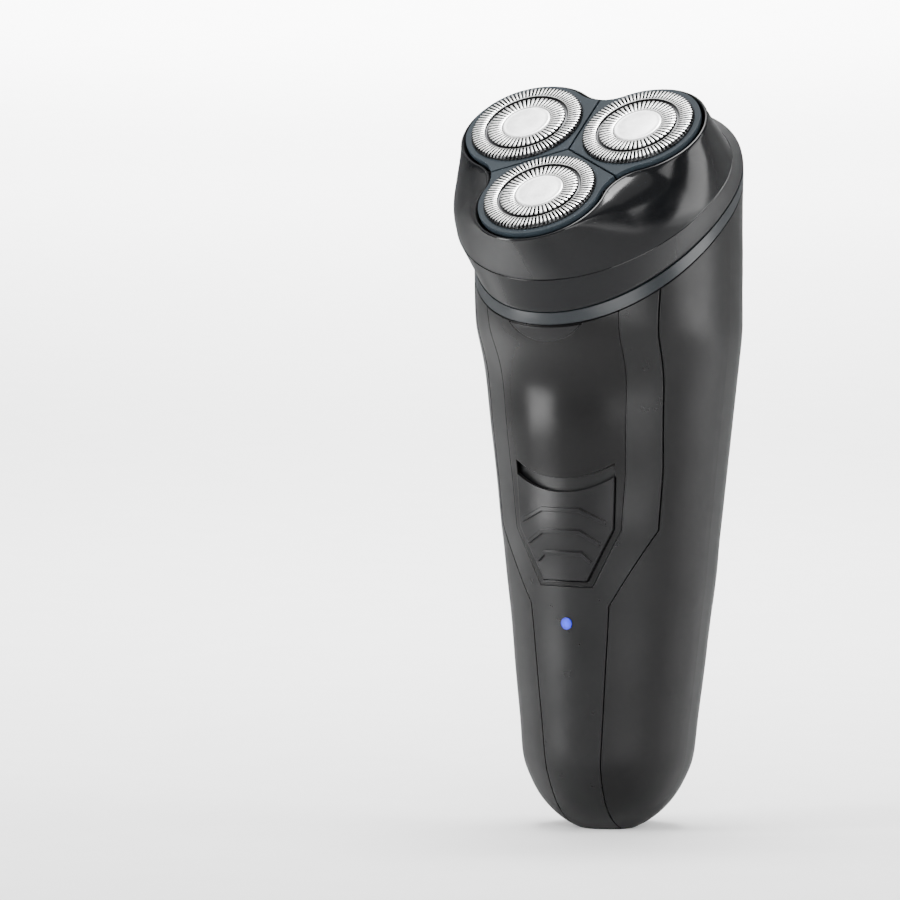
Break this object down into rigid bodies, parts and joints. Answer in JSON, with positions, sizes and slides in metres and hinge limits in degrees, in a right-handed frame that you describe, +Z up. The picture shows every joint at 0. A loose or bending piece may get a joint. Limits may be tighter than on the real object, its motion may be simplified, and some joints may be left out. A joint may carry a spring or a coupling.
{
  "type": "rotary electric shaver",
  "caption": "Cordless rotary shaver: tapered handle with slide switch, charging socket in the base, and a tilted head that hinges open, with floating slotted guards over spinning cutters.",
  "frame": {"origin": "on the flat rest face at the lower end of the handle, just behind the charging socket", "axes": "+Z up along the handle, -Y towards the front with the switch, +X to the right seen from the front"},
  "size_m": [0.0624, 0.0734, 0.1615],
  "materials": {
    "body_black": "satin",
    "strip_black": "satin",
    "panel_black": "gloss",
    "head_black": "gloss",
    "ring_blue": "satin",
    "plate_blue": "satin",
    "guard_steel": "polished",
    "cap_silver": "satin",
    "cutter_steel": "ground",
    "switch_black": "satin",
    "inner_grey": "moulded",
    "knob_grey": "moulded",
    "gear_white": "moulded",
    "spindle_white": "moulded",
    "spring_steel": "drawn wire",
    "plain_steel": "plated",
    "can_steel": "plated",
    "magnet_dark": "ground",
    "brass": "plain",
    "cap_nylon": "moulded",
    "battery_sleeve": "shrink film",
    "board_green": "solder mask",
    "switch_case": "moulded",
    "led_blue": "clear moulded",
    "seal_rubber": "matt",
    "lead_red": "extruded",
    "lead_black": "extruded"
  },
  "bodies": {
    "handle": {"battery": "battery_sleeve", "battery_contact_bottom": "plain_steel", "battery_contact_top": "plain_steel", "board_screws": "plain_steel", "chassis": "inner_grey", "circuit_board": "board_green", "collar_ring": "ring_blue", "deck_plate": "inner_grey", "deck_seal": "seal_rubber", "front_housing": "strip_black", "front_panel": "panel_black", "gearbox_base": "inner_grey", "gearbox_screws": "plain_steel", "hinge_pin": "plain_steel", "lead_black": "lead_black", "lead_red": "lead_red", "led_chip": "led_blue", "led_lens": "led_blue", "motor_bush": "brass", "motor_can": "can_steel", "motor_end_cap": "cap_nylon", "motor_magnets": "magnet_dark", "motor_terminals": "brass", "rear_housing": "body_black", "slide_switch_case": "switch_case", "usb_socket": "can_steel"},
    "head": {"head_shell": "head_black", "retaining_frame": "inner_grey"},
    "knob": {"retaining_knob": "knob_grey"},
    "rotor": {"motor_shaft": "plain_steel", "motor_pinion": "gear_white", "motor_armature": "magnet_dark"},
    "switch": {"power_switch": "switch_black", "slide_switch_lever": "switch_case"},
    "button": {"release_button": "switch_black"},
    "float_1": {"carrier_1": "plate_blue", "guard_1": "guard_steel", "guard_cap_1": "cap_silver"},
    "cutter_1": {"cutter_1": "cutter_steel"},
    "gear_1": {"drive_gear_1": "gear_white", "spindle_spring_1": "spring_steel"},
    "spindle_1": {"spindle_1": "spindle_white"},
    "float_2": {"carrier_2": "plate_blue", "guard_2": "guard_steel", "guard_cap_2": "cap_silver"},
    "cutter_2": {"cutter_2": "cutter_steel"},
    "gear_2": {"drive_gear_2": "gear_white", "spindle_spring_2": "spring_steel"},
    "spindle_2": {"spindle_2": "spindle_white"},
    "float_3": {"carrier_3": "plate_blue", "guard_3": "guard_steel", "guard_cap_3": "cap_silver"},
    "cutter_3": {"cutter_3": "cutter_steel"},
    "gear_3": {"drive_gear_3": "gear_white", "spindle_spring_3": "spring_steel"},
    "spindle_3": {"spindle_3": "spindle_white"}
  },
  "joints": [
    {"name": "head_hinge", "type": "hinge", "parent": "handle", "child": "head", "pos_m": [0, 0.02614, 0.15504], "axis": [-1, 0, 0], "range_deg": [0, 100]},
    {"name": "knob_turn", "type": "hinge", "parent": "head", "child": "knob", "pos_m": [0, -0.01438, 0.1409], "axis": [0, -0.5736, 0.8192], "range_deg": [0, 90]},
    {"name": "motor_spin", "type": "hinge", "parent": "handle", "child": "rotor", "pos_m": [0, -0.00835, 0.1323], "axis": [0, -0.5736, 0.8192], "continuous": true},
    {"name": "switch_slide", "type": "slide", "parent": "handle", "child": "switch", "axis": [0, -0.0995, 0.995], "range_m": [0, 0.0026]},
    {"name": "button_press", "type": "slide", "parent": "handle", "child": "button", "axis": [0, 0.8192, 0.5736], "range_m": [0, 0.0012], "stiffness_N_per_m": 300, "springref_m": -0.0004},
    {"name": "float_1_press", "type": "slide", "parent": "head", "child": "float_1", "axis": [0, -0.5736, 0.8192], "range_m": [-0.0012, 0], "stiffness_N_per_m": 400, "springref_m": 0.0006},
    {"name": "cutter_1_spin", "type": "hinge", "parent": "float_1", "child": "cutter_1", "pos_m": [0, -0.03158, 0.13801], "axis": [0, -0.5736, 0.8192], "continuous": true},
    {"name": "gear_1_spin", "type": "hinge", "parent": "handle", "child": "gear_1", "pos_m": [0, -0.02126, 0.12326], "axis": [0, -0.5736, 0.8192], "continuous": true},
    {"name": "spindle_1_slide", "type": "slide", "parent": "gear_1", "child": "spindle_1", "axis": [0, -0.5736, 0.8192], "range_m": [-0.0012, 0], "deforming": ["spindle_spring_1"]},
    {"name": "float_2_press", "type": "slide", "parent": "head", "child": "float_2", "axis": [0, -0.5736, 0.8192], "range_m": [-0.0012, 0], "stiffness_N_per_m": 400, "springref_m": 0.0006},
    {"name": "cutter_2_spin", "type": "hinge", "parent": "float_2", "child": "cutter_2", "pos_m": [0.01364, -0.01223, 0.15156], "axis": [0, -0.5736, 0.8192], "continuous": true},
    {"name": "gear_2_spin", "type": "hinge", "parent": "handle", "child": "gear_2", "pos_m": [0.01364, -0.0019, 0.13681], "axis": [0, -0.5736, 0.8192], "continuous": true},
    {"name": "spindle_2_slide", "type": "slide", "parent": "gear_2", "child": "spindle_2", "axis": [0, -0.5736, 0.8192], "range_m": [-0.0012, 0], "deforming": ["spindle_spring_2"]},
    {"name": "float_3_press", "type": "slide", "parent": "head", "child": "float_3", "axis": [0, -0.5736, 0.8192], "range_m": [-0.0012, 0], "stiffness_N_per_m": 400, "springref_m": 0.0006},
    {"name": "cutter_3_spin", "type": "hinge", "parent": "float_3", "child": "cutter_3", "pos_m": [-0.01364, -0.01223, 0.15156], "axis": [0, -0.5736, 0.8192], "continuous": true},
    {"name": "gear_3_spin", "type": "hinge", "parent": "handle", "child": "gear_3", "pos_m": [-0.01364, -0.0019, 0.13681], "axis": [0, -0.5736, 0.8192], "continuous": true},
    {"name": "spindle_3_slide", "type": "slide", "parent": "gear_3", "child": "spindle_3", "axis": [0, -0.5736, 0.8192], "range_m": [-0.0012, 0], "deforming": ["spindle_spring_3"]}
  ],
  "couplings": [
    {"joint": "cutter_1_spin", "follows": "motor_spin", "ratio": -0.575},
    {"joint": "gear_1_spin", "follows": "motor_spin", "ratio": -0.575},
    {"joint": "spindle_1_slide", "follows": "float_1_press", "ratio": 1},
    {"joint": "cutter_2_spin", "follows": "motor_spin", "ratio": -0.575},
    {"joint": "gear_2_spin", "follows": "motor_spin", "ratio": -0.575},
    {"joint": "spindle_2_slide", "follows": "float_2_press", "ratio": 1},
    {"joint": "cutter_3_spin", "follows": "motor_spin", "ratio": -0.575},
    {"joint": "gear_3_spin", "follows": "motor_spin", "ratio": -0.575},
    {"joint": "spindle_3_slide", "follows": "float_3_press", "ratio": 1}
  ]
}
